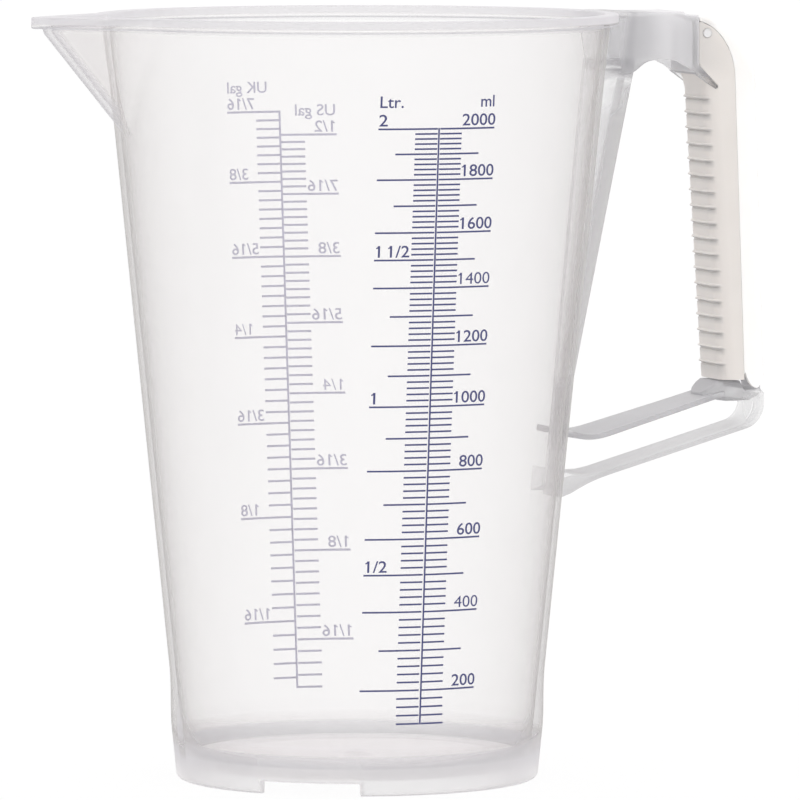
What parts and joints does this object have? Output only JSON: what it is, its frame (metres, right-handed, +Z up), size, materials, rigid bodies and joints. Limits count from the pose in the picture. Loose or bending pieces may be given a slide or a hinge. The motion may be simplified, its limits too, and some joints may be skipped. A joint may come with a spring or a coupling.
{
  "type": "graduated measuring jug",
  "caption": "Tapered translucent measuring jug with a V spout, a rim band, a notched foot and a closed ribbed handle.",
  "frame": {"origin": "centre of the bounding box on the surface that the jug stands on; the vessel's own axis is 12.3 mm towards -X", "axes": "+X towards the handle, -X towards the spout, +Z up out of the mouth; symmetric about the XZ plane; the litre scale is printed on the -Y side"},
  "size_m": [0.2206, 0.1508, 0.221],
  "materials": {
    "jug_polypropylene": "translucent natural polypropylene, satin gloss, moulded",
    "frame_polypropylene": "translucent natural polypropylene, satin gloss, moulded",
    "grip_plastic": "warm white, nearly opaque, fine satin",
    "cover_plastic": "white, nearly opaque, satin gloss",
    "pin_plastic": "pale grey, satin gloss"
  },
  "bodies": {
    "root": {"jug_body": "jug_polypropylene", "handle_frame": "frame_polypropylene", "grip_shell": "grip_plastic", "grip_back_cover": "cover_plastic", "grip_pin": "pin_plastic"}
  },
  "joints": []
}
